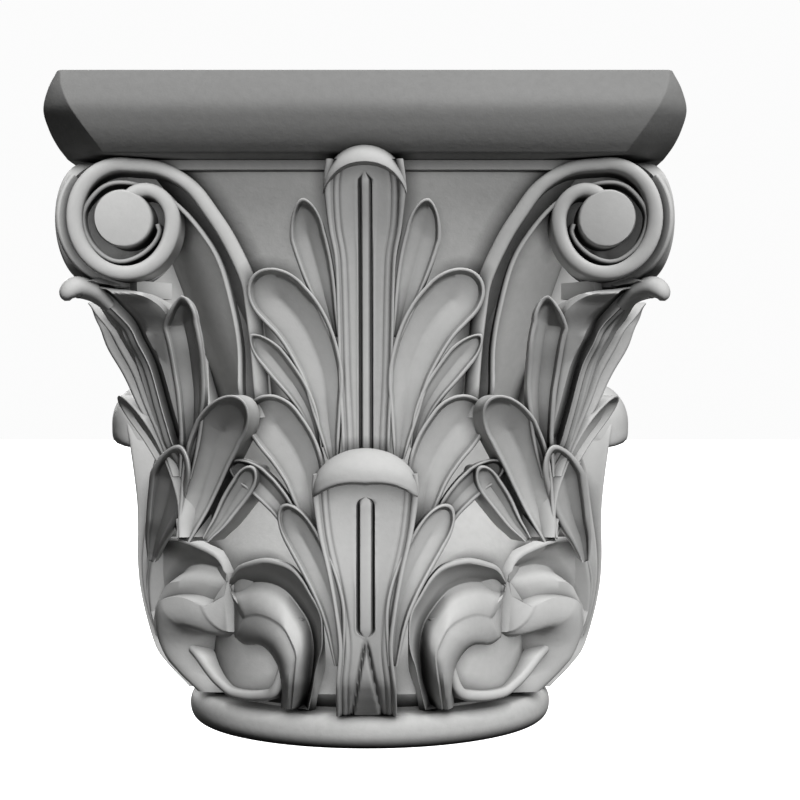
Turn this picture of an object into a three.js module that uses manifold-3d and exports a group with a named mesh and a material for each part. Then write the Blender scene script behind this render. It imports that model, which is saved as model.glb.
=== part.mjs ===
// Corinthian column capital, carved from one block of stone, with acanthus leaves and corner scrolls.
// Millimetres, +Z up. The origin is the centre of the underside, where the ring rests on the shaft.
// Carving is drawn on the front face (the -Y side) as x across, z up and a distance out from the axis,
// and is then turned and mirrored to the other faces.

import * as THREE from 'three';
import { mergeVertices } from 'three/addons/utils/BufferGeometryUtils.js';
import Module from 'manifold-3d';

const wasm = await Module();
wasm.setup();

// Driving dimensions
const totalHeight = 655;
const abacusHalf = 303;
const ringRadius = 198;
const ringHeight = 33;
const bellTop = 566;
const eyeCentre = new THREE.Vector2(-229, 518);
const eyeRadius = 26;
const scrollRadius = 52;
const scrollTilt = 0.5;
const scrollOut = 264.5;

// A value read from a short profile of [height, value] points, straight between them
function profileAt(profile, height) {
  if (height <= profile[0][0]) return profile[0][1];
  for (let i = 1; i < profile.length; i += 1) {
    const [lowZ, lowValue] = profile[i - 1];
    const [highZ, highValue] = profile[i];
    if (height <= highZ) {
      return THREE.MathUtils.mapLinear(height, lowZ, highZ, lowValue, highValue);
    }
  }
  return profile[profile.length - 1][1];
}

// Outlines seen from the side: how far each surface stands out from the axis at each height
const bellProfile = [[33, 158], [120, 158], [250, 168], [350, 180], [450, 199], [520, 221], [566, 242]];
const tallLeafProfile = [[200, 222], [280, 230], [350, 236], [400, 241], [450, 249], [500, 262], [540, 278],
  [570, 292]];
const frontLeafProfile = [[24, 192], [36, 208], [58, 222], [80, 234], [125, 247], [169, 252], [236, 250],
  [270, 257]];
const sideLeafProfile = [[24, 192], [36, 208], [58, 222], [80, 234], [125, 247], [169, 252], [236, 250],
  [292, 255], [330, 262]];
const cornerLeafProfile = [[190, 172], [297, 183], [335, 199], [377, 214], [414, 233], [440, 260]];

// Fall away from the middle line of a leaf, in millimetres for each square millimetre across
const tallLeafRound = 0.0022;
const lowLeafRound = 0.0054;

const tallFront = (x, z) => profileAt(tallLeafProfile, z) - tallLeafRound * x * x;
const frontLeafFront = (x, z) => profileAt(frontLeafProfile, z) - lowLeafRound * x * x;
const sideLeafFront = (x, z) => profileAt(sideLeafProfile, z) - lowLeafRound * x * x;
const scrollFront = (x) => scrollOut + scrollTilt * (Math.abs(x) - Math.abs(eyeCentre.x));
function cornerFront(x, z) {
  const ridge = profileAt(cornerLeafProfile, z);
  return ridge - 0.2 * (ridge - Math.abs(x));
}

const onFace = (x, z, out) => new THREE.Vector3(x, -out, z);

// A closed skin over a row of rings with the same number of corners, capped at both ends
function skin(rings) {
  const corners = rings[0].length;
  const points = rings.flat();
  const faces = [];
  for (let r = 0; r + 1 < rings.length; r += 1) {
    for (let c = 0; c < corners; c += 1) {
      const here = r * corners + c;
      const beside = r * corners + ((c + 1) % corners);
      faces.push([here, beside, beside + corners], [here, beside + corners, here + corners]);
    }
  }
  const lastRing = points.length - corners;
  const middle = (ring) => ring.reduce((sum, p) => sum.add(p), new THREE.Vector3()).divideScalar(corners);
  const startMiddle = points.push(middle(rings[0])) - 1;
  const endMiddle = points.push(middle(rings[rings.length - 1])) - 1;
  for (let c = 0; c < corners; c += 1) {
    const next = (c + 1) % corners;
    faces.push([startMiddle, next, c], [endMiddle, lastRing + c, lastRing + next]);
  }
  return { points, faces };
}

// A solid from a skin, after moving its points; its faces are turned outwards
function solid({ points, faces }, move = (p) => p) {
  const moved = points.map(move);
  const volume = faces.reduce((sum, [a, b, c]) => {
    const side = new THREE.Vector3().crossVectors(moved[b], moved[c]);
    return sum + moved[a].dot(side);
  }, 0);
  const outward = volume > 0 ? faces : faces.map(([a, b, c]) => [a, c, b]);
  const vertProperties = new Float32Array(moved.flatMap((p) => [p.x, p.y, p.z]));
  const triVerts = new Uint32Array(outward.flat());
  return new wasm.Manifold(new wasm.Mesh({ numProp: 3, vertProperties, triVerts }));
}

// Quarter turns about the axis, with or without a mirror image across the face's middle line
const turned = (quarter, mirrored) => (p) => {
  const x = mirrored ? -p.x : p.x;
  const angle = quarter * Math.PI / 2;
  const cos = Math.round(Math.cos(angle));
  const sin = Math.round(Math.sin(angle));
  return new THREE.Vector3(cos * x - sin * p.y, sin * x + cos * p.y, p.z);
};
const allQuarters = [0, 1, 2, 3];

function copies(piece, quarters, mirrors) {
  return quarters.flatMap((quarter) => mirrors.map((mirrored) => solid(piece, turned(quarter, mirrored))));
}

// A leaf lobe: a hollowed spoon along a curved spine, narrow at its root and round at its tip
const spoonStations = [0, 0.33, 0.66, 0.88, 0.985];
const smallSpoonStations = [0, 0.5, 0.85, 0.98];
const smallWidth = 14;
function spoonHalfWidth(t, root, widest) {
  if (t < widest) return root + (1 - root) * Math.sin(Math.PI / 2 * t / widest);
  return Math.sqrt(Math.max(0, 1 - ((t - widest) / (1 - widest)) ** 2));
}
function spoon(lobe, front) {
  const { spine, width, root = 0.3, widest = 0.68, lift = 8, hollow = 8, thick = 24 } = lobe;
  const curve = new THREE.SplineCurve(spine.map(([x, z]) => new THREE.Vector2(x, z)));
  const stations = width < smallWidth ? smallSpoonStations : spoonStations;
  return skin(stations.map((t) => {
    const middle = curve.getPointAt(t);
    const along = curve.getTangentAt(t);
    const reach = spoonHalfWidth(t, root, widest);
    const corner = (across, drop) => {
      const x = middle.x - along.y * across * reach * width;
      const z = middle.y + along.x * across * reach * width;
      return onFace(x, z, front(x, z) + lift * t * t - drop);
    };
    return [corner(1, 0), corner(0.15, hollow * reach), corner(-1, 0), corner(0, thick)];
  }));
}

// The stem of a leaf: a shield between two edges, with a slot for the midrib and a bead in the slot
function stem({ widths, slot, slotDepth, deep }, front) {
  return skin(widths.map(([z, half]) => {
    const corner = (x, drop) => onFace(x, z, front(0, z) - drop);
    return [corner(-half, deep), corner(-half, 6), corner(-slot, 0), corner(0, slotDepth), corner(slot, 0),
      corner(half, 6), corner(half, deep)];
  }));
}

// The curled tip of a leaf: a round cap that hangs over the stem and is cut off level at its lip
const capSteps = 8;
function curledTip({ half, middleOut, middleHeight, reach, rise, lip }) {
  const places = [-0.96, -0.7, -0.25, 0.25, 0.7, 0.96];
  return skin(places.map((place) => {
    const size = Math.sqrt(1 - place * place);
    const ring = [];
    for (let i = 0; i < capSteps; i += 1) {
      const angle = i / capSteps * Math.PI * 2;
      const z = middleHeight + rise * size * Math.sin(angle);
      const lipHere = lip - (middleHeight - lip) * (size - 1) * 0.5;
      ring.push(onFace(place * half, Math.max(z, lipHere), middleOut + reach * size * Math.cos(angle)));
    }
    return ring;
  }));
}

// Tall leaves, one on each face, under the middle of the abacus
const tallStem = {
  widths: [[200, 26], [300, 28], [414, 29.5], [480, 32], [522, 37], [548, 38], [572, 36]],
  slot: 7.5,
  slotDepth: 6,
  deep: 62,
};
const tallTip = { half: 39, middleOut: 277, middleHeight: 568, reach: 26, rise: 18.5, lip: 567 };
const tallLobes = [
  { spine: [[-31, 402], [-50, 462], [-60, 536]], width: 17, widest: 0.62 },
  { spine: [[-36, 298], [-48, 385], [-78, 440], [-113, 467]], width: 26, widest: 0.72, thick: 30 },
  { spine: [[-46, 306], [-72, 366], [-113, 410]], width: 12, widest: 0.55 },
  { spine: [[-52, 224], [-68, 290], [-112, 346]], width: 24, widest: 0.64, thick: 30 },
  { spine: [[-62, 204], [-94, 250], [-134, 285]], width: 12, widest: 0.6 },
];

// Low leaves on the front and back, and the taller ones on the two sides
const frontStem = {
  widths: [[26, 32], [70, 28], [108, 25], [146, 29], [184, 36], [222, 46], [258, 52], [276, 50]],
  slot: 9,
  slotDepth: 7,
  deep: 80,
};
const frontTip = { half: 51, middleOut: 252, middleHeight: 270, reach: 34, rise: 32, lip: 267 };
const sideStem = {
  widths: [[26, 32], [70, 28], [108, 25], [160, 29], [215, 40], [262, 50], [305, 50], [330, 44]],
  slot: 9,
  slotDepth: 7,
  deep: 80,
};
const sideTip = { half: 51, middleOut: 244, middleHeight: 326, reach: 42, rise: 41, lip: 296 };
const innerCurl = { spine: [[-84, 40], [-78, 74], [-88, 103], [-110, 116], [-133, 108]], width: 15, root: 0.5,
  widest: 0.75, lift: 2, hollow: -6, thick: 34 };
const outerCurl = { spine: [[-62, 38], [-56, 92], [-64, 132], [-88, 156], [-132, 157]], width: 27, root: 0.4,
  widest: 0.7, lift: 6, hollow: -4, thick: 42 };
const frontLobes = [
  { spine: [[-32, 112], [-52, 186], [-83, 246]], width: 15, widest: 0.66, thick: 34 },
  outerCurl,
  innerCurl,
];
const sideLobes = [
  { spine: [[-32, 112], [-56, 200], [-80, 298]], width: 19, widest: 0.6, thick: 40 },
  outerCurl,
  innerCurl,
];

// Corner leaves, under the scrolls: half of each lies on the front face, the other half on the side face
const cornerLobes = [
  { spine: [[-180, 298], [-175, 367], [-180, 441]], width: 22, widest: 0.6, thick: 26, lift: 0 },
  { spine: [[-182, 204], [-164, 288], [-126, 350]], width: 21, widest: 0.66, thick: 34, lift: 10 },
  { spine: [[-164, 196], [-150, 240], [-127, 268]], width: 12, widest: 0.6, thick: 34 },
];
const cornerBlade = [
  { z: 150, out: 160, wing: 22, thick: 46 },
  { z: 250, out: 178, wing: 26, thick: 46 },
  { z: 335, out: 199, wing: 30, thick: 40 },
  { z: 377, out: 214, wing: 38, thick: 34 },
  { z: 414, out: 233, wing: 48, thick: 30 },
  { z: 441, out: 260, wing: 52, thick: 30 },
  { z: 447, out: 276, wing: 26, thick: 26 },
  { z: 441, out: 286, wing: 8, thick: 12 },
];
const bladeSlot = 7;
const bladeSlotDepth = 7;
function cornerLeaf() {
  return skin(cornerBlade.map(({ z, out, wing, thick }) => {
    const slotWide = Math.min(bladeSlot, wing * 0.5);
    const front = [
      new THREE.Vector3(-(out - wing), -(out - 0.2 * wing), z),
      new THREE.Vector3(-(out - slotWide), -out, z),
      new THREE.Vector3(-(out - bladeSlotDepth * 0.8), -(out - bladeSlotDepth), z),
    ];
    const side = front.map((p) => new THREE.Vector3(p.y, p.x, p.z)).reverse();
    const inner = out - thick;
    const lowFront = new THREE.Vector3(-(inner - wing * 0.6), -inner, z - thick * 0.3);
    const lowSide = new THREE.Vector3(lowFront.y, lowFront.x, lowFront.z);
    return [lowFront, ...front, ...side, lowSide];
  }));
}

// Scrolls: a raised ridge that climbs from the bell, turns once round the eye and closes on it
const ridgeStem = [[-104, 357], [-108, 396], [-112, 435], [-120, 470], [-135, 502], [-160, 543]];
const stemSteps = 6;
const scrollStart = 1.95;
const scrollEnd = 7.75;
const scrollSteps = 12;
function scrollPoint(angle) {
  const turn = (angle - Math.PI / 2) / (2 * Math.PI);
  const radius = scrollRadius - 5 * turn - 16 * Math.max(0, turn) ** 6;
  const x = eyeCentre.x + radius * Math.cos(angle);
  return new THREE.Vector2(x, eyeCentre.y + radius * Math.sin(angle));
}
function ridge(curve, steps, section) {
  const rings = [];
  for (let i = 0; i <= steps; i += 1) {
    const middle = curve.getPointAt(i / steps);
    const along = curve.getTangentAt(i / steps);
    rings.push(section.map(([across, out]) => {
      const x = middle.x + along.y * across;
      const z = middle.y - along.x * across;
      return onFace(x, z, scrollFront(x) + out);
    }));
  }
  return skin(rings);
}
function scrollPieces() {
  const turnPoints = [];
  for (let i = 0; i <= scrollSteps; i += 1) {
    turnPoints.push(scrollPoint(THREE.MathUtils.lerp(scrollStart, scrollEnd, i / scrollSteps)));
  }
  const stemCurve = new THREE.SplineCurve([
    ...ridgeStem.map(([x, z]) => new THREE.Vector2(x, z)),
    scrollPoint(scrollStart - 0.35),
    scrollPoint(scrollStart),
  ]);
  const stemSection = [[7, -2], [-2, 4], [-8, -18], [-21, -16], [-2, -64]];
  const turnSection = [[7, -3], [0, 4], [-7, -3], [0, -34]];
  return [
    ridge(stemCurve, stemSteps, stemSection),
    ridge(new THREE.SplineCurve(turnPoints), scrollSteps, turnSection),
    eye(),
    drum(),
  ];
}

// The eye of a scroll: a flat disc with a bevelled rim
const discSides = 10;
function disc(radius, out) {
  const ring = [];
  for (let i = 0; i < discSides; i += 1) {
    const angle = i / discSides * Math.PI * 2;
    const x = eyeCentre.x + radius * Math.cos(angle);
    ring.push(onFace(x, eyeCentre.y + radius * Math.sin(angle), scrollFront(x) + out));
  }
  return ring;
}
function eye() {
  return skin([disc(eyeRadius, 4), disc(eyeRadius, -34)]);
}

// The block of stone between the two scrolls of a corner, hollowed below their ridges
const drumRadius = 46;
const drumSet = -26;
function drum() {
  const front = disc(drumRadius, drumSet).map((p) => {
    const x = Math.max(p.x, p.y + 2);
    return new THREE.Vector3(x, p.y, p.z);
  });
  const side = front.map((p) => new THREE.Vector3(p.y, p.x, p.z));
  return skin([front, side]);
}

// The bell: round at the ring and squarer towards its rim
const bellSides = 24;
function bell() {
  const sections = [
    [0, 186, 2], [5, 194, 2], [ringHeight / 2, ringRadius, 2], [ringHeight - 5, 194, 2], [ringHeight, 184, 2],
    ...bellProfile.map(([z, out]) => [z + 1, out, THREE.MathUtils.mapLinear(z, 33, bellTop, 2, 2.6)]),
  ];
  return skin(sections.map(([z, out, squareness]) => {
    const ring = [];
    for (let i = 0; i < bellSides; i += 1) {
      const angle = i / bellSides * Math.PI * 2;
      const cos = Math.cos(angle);
      const sin = Math.sin(angle);
      const size = (Math.abs(cos) ** squareness + Math.abs(sin) ** squareness) ** (-1 / squareness);
      ring.push(new THREE.Vector3(out * size * cos, out * size * sin, z));
    }
    return ring;
  }));
}

// The abacus: a slab with cut corners and a rounded moulding, over a plain band
const abacusSections = [
  { z: 560, half: 262, cut: 30 },
  { z: 577, half: 262, cut: 30 },
  { z: 577.5, half: 286, cut: 42 },
  { z: 589, half: 294, cut: 42 },
  { z: 603, half: 300, cut: 38 },
  { z: 620, half: abacusHalf, cut: 30 },
  { z: totalHeight, half: abacusHalf - 16, cut: 3 },
];
function abacus() {
  return skin(abacusSections.map(({ z, half, cut }) => {
    const near = half - cut;
    return allQuarters.flatMap((quarter) => {
      const turn = turned(quarter, false);
      return [turn(new THREE.Vector3(-near, -half, z)), turn(new THREE.Vector3(near, -half, z))];
    });
  }));
}

const bothSides = [false, true];
const pieces = [
  solid(bell()),
  solid(abacus()),
  ...copies(stem(tallStem, tallFront), allQuarters, [false]),
  ...copies(curledTip(tallTip), allQuarters, [false]),
  ...tallLobes.flatMap((lobe) => copies(spoon(lobe, tallFront), allQuarters, bothSides)),
  ...copies(stem(frontStem, frontLeafFront), [0, 2], [false]),
  ...copies(curledTip(frontTip), [0, 2], [false]),
  ...frontLobes.flatMap((lobe) => copies(spoon(lobe, frontLeafFront), [0, 2], bothSides)),
  ...copies(stem(sideStem, sideLeafFront), [1, 3], [false]),
  ...copies(curledTip(sideTip), [1, 3], [false]),
  ...sideLobes.flatMap((lobe) => copies(spoon(lobe, sideLeafFront), [1, 3], bothSides)),
  ...copies(cornerLeaf(), allQuarters, [false]),
  ...cornerLobes.flatMap((lobe) => copies(spoon(lobe, cornerFront), allQuarters, bothSides)),
  ...scrollPieces().flatMap((piece) => copies(piece, allQuarters, bothSides)),
];

// All the carving joined into one block
function joined(solids) {
  let row = solids;
  while (row.length > 1) {
    const next = [];
    for (let i = 0; i < row.length; i += 2) {
      next.push(i + 1 < row.length ? row[i].add(row[i + 1]) : row[i]);
    }
    row = next;
  }
  const bodies = row[0].decompose();
  return bodies.reduce((largest, body) => (body.numTri() > largest.numTri() ? body : largest));
}

// Fewer, larger facets. Each corner carries the sum of squared distances to its own faces' planes, and the
// edges whose closing moves the surface least are closed first, as long as the skin stays closed and unfolded.
const mostFaces = 9800;
const shareEachPass = 0.12;
const leastFaceTurn = 0.35;

function planeSums(points, faces) {
  const sums = points.map(() => new Float64Array(10));
  faces.forEach(([a, b, c]) => {
    const normal = new THREE.Vector3().subVectors(points[b], points[a])
      .cross(new THREE.Vector3().subVectors(points[c], points[a]));
    const area = normal.length();
    if (area < 1e-9) return;
    normal.divideScalar(area);
    const d = -normal.dot(points[a]);
    const { x, y, z } = normal;
    const terms = [x * x, x * y, x * z, x * d, y * y, y * z, y * d, z * z, z * d, d * d];
    [a, b, c].forEach((corner) => terms.forEach((term, i) => { sums[corner][i] += term * area; }));
  });
  return sums;
}

function movedBy(sum, { x, y, z }) {
  return sum[0] * x * x + 2 * sum[1] * x * y + 2 * sum[2] * x * z + 2 * sum[3] * x + sum[4] * y * y
    + 2 * sum[5] * y * z + 2 * sum[6] * y + sum[7] * z * z + 2 * sum[8] * z + sum[9];
}

function facesAround(points, faces) {
  const around = points.map(() => []);
  faces.forEach((face, index) => face.forEach((corner) => around[corner].push(index)));
  return around;
}

function staysUnfolded(points, faces, around, moving, other, place) {
  return around[moving].every((index) => {
    const face = faces[index];
    if (face.includes(other)) return true;
    const before = face.map((corner) => points[corner]);
    const after = face.map((corner) => (corner === moving ? place : points[corner]));
    const turnOf = ([a, b, c]) => new THREE.Vector3().subVectors(b, a).cross(new THREE.Vector3().subVectors(c, a));
    const now = turnOf(before);
    const then = turnOf(after);
    return then.length() > 0.02 && now.dot(then) > leastFaceTurn * now.length() * then.length();
  });
}

function closeOnePass(points, faces, target) {
  const sums = planeSums(points, faces);
  const around = facesAround(points, faces);
  const edges = [];
  faces.forEach(([a, b, c]) => [[a, b], [b, c], [c, a]].forEach(([from, to]) => {
    if (from > to) return;
    const joint = sums[from].map((value, i) => value + sums[to][i]);
    const middle = new THREE.Vector3().addVectors(points[from], points[to]).multiplyScalar(0.5);
    const places = [points[from], points[to], middle];
    const costs = places.map((place) => movedBy(joint, place) + 1e-4 * points[from].distanceToSquared(points[to]));
    const cost = Math.min(...costs);
    edges.push({ from, to, cost, place: places[costs.indexOf(cost)] });
  }));
  edges.sort((one, two) => one.cost - two.cost);
  const touched = new Set();
  const replacement = new Map();
  let left = faces.length;
  for (const { from, to, place } of edges.slice(0, Math.ceil(edges.length * shareEachPass))) {
    if (left <= target) break;
    if (touched.has(from) || touched.has(to)) continue;
    const near = (corner) => new Set(around[corner].flatMap((index) => faces[index]));
    const shared = [...near(from)].filter((corner) => corner !== from && corner !== to && near(to).has(corner));
    if (shared.length !== 2) continue;
    if (!staysUnfolded(points, faces, around, from, to, place)) continue;
    if (!staysUnfolded(points, faces, around, to, from, place)) continue;
    [...near(from), ...near(to)].forEach((corner) => touched.add(corner));
    points[to] = place.clone();
    replacement.set(from, to);
    left -= 2;
  }
  return faces
    .map((face) => face.map((corner) => replacement.get(corner) ?? corner))
    .filter(([a, b, c]) => a !== b && b !== c && c !== a);
}

function thinned(block) {
  const { numProp, vertProperties, triVerts } = block.getMesh();
  const points = [];
  for (let i = 0; i < vertProperties.length; i += numProp) {
    points.push(new THREE.Vector3().fromArray(vertProperties, i));
  }
  let faces = [];
  for (let i = 0; i < triVerts.length; i += 3) faces.push([...triVerts.subarray(i, i + 3)]);
  let before = Infinity;
  while (faces.length > mostFaces && faces.length < before) {
    before = faces.length;
    faces = closeOnePass(points, faces, mostFaces);
  }
  return { points, faces };
}

function geometryOf({ points, faces }) {
  const positions = new Float32Array(faces.flat().flatMap((corner) => points[corner].toArray()));
  const geometry = new THREE.BufferGeometry();
  geometry.setAttribute('position', new THREE.BufferAttribute(positions, 3));
  const merged = mergeVertices(geometry);
  merged.computeVertexNormals();
  return merged;
}

const stone = new THREE.MeshStandardMaterial({ color: 0xa8a7a4, roughness: 0.75, metalness: 0 });
const capital = new THREE.Mesh(geometryOf(thinned(joined(pieces))), stone);
capital.name = 'capital';

const group = new THREE.Group();
group.add(capital);

export default group;
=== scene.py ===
# %% [markdown]
# # A Corinthian column capital
#
# The real thing is one block of stone, cut by a carver: a round bell on a ring, a square slab (the abacus)
# on top, two rows of acanthus leaves, and a pair of scrolls at each corner. In this lesson every part of
# the carving is worked out with numpy as a grid of points, because each has a simple rule: a profile
# carried along a path, or an outline drawn in towards a crease. Sculpting by hand would be freer, but a
# rule repeats exactly on all four faces.

# %% Load the frame
import bpy
import numpy as np
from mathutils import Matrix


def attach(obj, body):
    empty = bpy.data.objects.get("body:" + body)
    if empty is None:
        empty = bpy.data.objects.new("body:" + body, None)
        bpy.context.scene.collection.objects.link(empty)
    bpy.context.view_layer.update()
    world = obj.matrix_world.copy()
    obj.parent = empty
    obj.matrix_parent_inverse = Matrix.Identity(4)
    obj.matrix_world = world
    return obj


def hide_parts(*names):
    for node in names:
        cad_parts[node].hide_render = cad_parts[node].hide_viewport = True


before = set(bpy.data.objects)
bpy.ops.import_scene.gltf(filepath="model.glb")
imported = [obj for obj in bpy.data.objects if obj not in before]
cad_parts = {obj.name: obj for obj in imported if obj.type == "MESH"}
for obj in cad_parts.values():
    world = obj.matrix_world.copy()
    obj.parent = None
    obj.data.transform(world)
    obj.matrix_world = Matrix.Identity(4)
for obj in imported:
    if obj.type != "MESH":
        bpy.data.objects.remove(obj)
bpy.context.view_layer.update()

# %% [markdown]
# ## Camera, floor and light
#
# The capital is seen level and straight on, a little from its right, with a long lens, so its upright lines
# stay parallel. The light is a distant key lamp to the upper right in front, which leaves the surfaces that
# turn to the left dark, as a carver likes it: low relief only shows in light from one side. The key casts
# no shadows, which keeps the shading as even as in the photograph; shade painted into the stone's colour
# by ambient occlusion darkens the recesses instead. A weaker lamp behind, which does cast shadows, keeps the
# back from going black. The floor and the backdrop are plain and pale, and both glow to the camera, so that
# they stay nearly white.

# %% Camera
MM = 0.001
LENS = 72
CAMERA_PLACE = (0.033, -1.779, 0.347)
scene = bpy.context.scene
camera_data = bpy.data.cameras.new("camera")
camera_data.lens = LENS
camera_data.sensor_width = 36
camera = bpy.data.objects.new("camera", camera_data)
camera.location = CAMERA_PLACE
camera.rotation_euler = (np.pi / 2, 0, 0)
scene.collection.objects.link(camera)
scene.camera = camera


# %% Lamps
KEY_LAMP = dict(right=22, up=42, size=14, strength=4.5, shadow=False)
REAR_LAMP = dict(right=205, up=18, size=30, strength=1.6, shadow=True)
SKY_GLOW = 0.07
SKY_GLOW_START = 0.2
BACKDROP = 0.97


def sun(name, right, up, size, strength, shadow):
    """A distant lamp, seen from the middle of the front at an angle to the right and an angle up. size is
    how wide it looks, which sets how soft its shadows are, and shadow says whether it casts any."""
    data = bpy.data.lights.new(name, "SUN")
    data.energy = strength
    data.angle = np.radians(size)
    data.use_shadow = shadow
    light = bpy.data.objects.new(name, data)
    light.rotation_euler = (np.radians(90 - up), 0, np.radians(right))
    scene.collection.objects.link(light)


sun("key", **KEY_LAMP)
sun("rear", **REAR_LAMP)
scene.view_settings.view_transform = "Standard"

world = bpy.data.worlds.new("studio")
world.use_nodes = True
scene.world = world
studio = world.node_tree
sky = studio.nodes["Background"]
sky.inputs["Color"].default_value = (1, 1, 1, 1)
place = studio.nodes.new("ShaderNodeTexCoord")
height = studio.nodes.new("ShaderNodeSeparateXYZ")
studio.links.new(place.outputs["Generated"], height.inputs["Vector"])
glow = studio.nodes.new("ShaderNodeMapRange")
glow.inputs["From Min"].default_value = SKY_GLOW_START
glow.inputs["To Max"].default_value = SKY_GLOW
studio.links.new(height.outputs["Z"], glow.inputs["Value"])
seen = studio.nodes.new("ShaderNodeLightPath")
brightness = studio.nodes.new("ShaderNodeMapRange")
brightness.inputs["To Max"].default_value = BACKDROP
studio.links.new(glow.outputs["Result"], brightness.inputs["To Min"])
studio.links.new(seen.outputs["Is Camera Ray"], brightness.inputs["Value"])
studio.links.new(brightness.outputs["Result"], sky.inputs["Strength"])

# %% [markdown]
# ## The stone
#
# The carving is one even grey stone, finely finished. The colour drifts a little over a hand's breadth, a
# fine grain shows close to, and the crests of the carving are a shade lighter than its hollows. Drift and
# grain are noise on Object coordinates, so the pattern runs on across neighbouring pieces as it does in one
# block. Crests and hollows come from the curvature of the surface.
# Recesses get painted shade: their colour is darkened by ambient occlusion, which measures how closely other
# stone stands around a point.
# The slab is the same stone with a darker colour, which paints shade over the whole slab.

# %% Node helpers
# Painted shade in recesses: how far the ambient occlusion reaches, and how strongly it darkens the colour.
RECESS_REACH = 0.017
RECESS_STRENGTH = 1.5
DARKEST_HOLLOW = -0.22
LIGHTEST_CREST = 0.12
LEAST_ROUGHNESS = 0.5
ROUGHNESS_SPREAD = 0.16
SHEEN = 0.12
GRAIN_HEIGHT = 0.0006


def add_node(tree, kind, **values):
    """Adds a node, and sets its properties or its inputs by name."""
    node = tree.nodes.new(kind)
    for key, value in values.items():
        if key in node.inputs:
            node.inputs[key].default_value = value
        else:
            setattr(node, key, value)
    return node


def grain_and_painted_shade_group():
    """Stone colour, grain height and roughness from a base colour, how much it drifts, how much lighter
    crests are, how strong the grain is, and how dark the painted shade in recesses gets, as a power of the
    ambient occlusion."""
    tree = bpy.data.node_groups.new("stone grain and painted shade", "ShaderNodeTree")
    inputs = [("Color", "NodeSocketColor"), ("Drift", "NodeSocketFloat"), ("Crest", "NodeSocketFloat"),
              ("Grain", "NodeSocketFloat"), ("Recess", "NodeSocketFloat")]
    for name, kind in inputs:
        tree.interface.new_socket(name, in_out="INPUT", socket_type=kind)
    for name, kind in [("Color", "NodeSocketColor"), ("Height", "NodeSocketFloat"),
                       ("Roughness", "NodeSocketFloat")]:
        tree.interface.new_socket(name, in_out="OUTPUT", socket_type=kind)
    start = add_node(tree, "NodeGroupInput")
    end = add_node(tree, "NodeGroupOutput")
    place = add_node(tree, "ShaderNodeTexCoord")
    link = tree.links.new

    broad = add_node(tree, "ShaderNodeTexNoise", Scale=9.0, Detail=4.0)
    fine = add_node(tree, "ShaderNodeTexNoise", Scale=420.0, Detail=3.0)
    specks = add_node(tree, "ShaderNodeTexNoise", Scale=130.0, Detail=2.0)
    for noise in (broad, fine, specks):
        link(place.outputs["Object"], noise.inputs["Vector"])

    def maths(operation, first, second):
        node = add_node(tree, "ShaderNodeMath", operation=operation)
        for socket, value in zip(node.inputs, (first, second)):
            if isinstance(value, (int, float)):
                socket.default_value = value
            else:
                link(value, socket)
        return node.outputs[0]

    drift = maths("MULTIPLY", maths("SUBTRACT", broad.outputs["Fac"], 0.5), start.outputs["Drift"])
    speck = maths("MULTIPLY", maths("SUBTRACT", specks.outputs["Fac"], 0.5), start.outputs["Grain"])
    curve = add_node(tree, "ShaderNodeNewGeometry")
    # Lighter on crests and darker in hollows, by the curvature of the surface.
    crest = maths("MULTIPLY", maths("SUBTRACT", curve.outputs["Pointiness"], 0.5), start.outputs["Crest"])
    bounded = add_node(tree, "ShaderNodeClamp", Min=DARKEST_HOLLOW, Max=LIGHTEST_CREST)
    link(crest, bounded.inputs["Value"])
    value = maths("ADD", maths("ADD", drift, speck), maths("ADD", bounded.outputs[0], 1.0))
    # Painted shade: ambient occlusion darkens the colour where other stone stands close round a point.
    recess_painted_shade = add_node(tree, "ShaderNodeAmbientOcclusion", samples=8, Distance=RECESS_REACH)
    value = maths("MULTIPLY", value, maths("POWER", recess_painted_shade.outputs["AO"], start.outputs["Recess"]))
    tint = add_node(tree, "ShaderNodeVectorMath", operation="SCALE")
    link(start.outputs["Color"], tint.inputs[0])
    link(value, tint.inputs["Scale"])
    link(tint.outputs[0], end.inputs["Color"])
    relief = maths("ADD", maths("MULTIPLY", fine.outputs["Fac"], 0.6), specks.outputs["Fac"])
    link(relief, end.inputs["Height"])
    dullness = maths("ADD", maths("MULTIPLY", fine.outputs["Fac"], ROUGHNESS_SPREAD), LEAST_ROUGHNESS)
    link(dullness, end.inputs["Roughness"])
    return tree


grain_and_painted_shade = grain_and_painted_shade_group()


def stone_material(name, color, drift, crest, grain, relief):
    """A stone finish: the shared group of grain and painted shade drives its colour, its roughness and a fine
    bump.
    """
    material = bpy.data.materials.new(name)
    material.use_nodes = True
    tree = material.node_tree
    shader = tree.nodes["Principled BSDF"]
    shader.inputs["Specular IOR Level"].default_value = SHEEN
    group = add_node(tree, "ShaderNodeGroup", node_tree=grain_and_painted_shade)
    for key, value in (("Color", (*color, 1)), ("Drift", drift), ("Crest", crest), ("Grain", grain),
                       ("Recess", RECESS_STRENGTH)):
        group.inputs[key].default_value = value
    height = add_node(tree, "ShaderNodeBump", Strength=relief, Distance=GRAIN_HEIGHT)
    tree.links.new(group.outputs["Height"], height.inputs["Height"])
    tree.links.new(group.outputs["Color"], shader.inputs["Base Color"])
    tree.links.new(group.outputs["Roughness"], shader.inputs["Roughness"])
    tree.links.new(height.outputs["Normal"], shader.inputs["Normal"])
    return material


carved_stone = stone_material("carved stone", (0.46, 0.46, 0.455), drift=0.16, crest=1.2, grain=0.10,
                              relief=0.25)
DRESSED = dict(drift=0.20, crest=0.8, grain=0.16, relief=0.35)
dressed_stone = stone_material("dressed stone", (0.42, 0.42, 0.415), **DRESSED)
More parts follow.
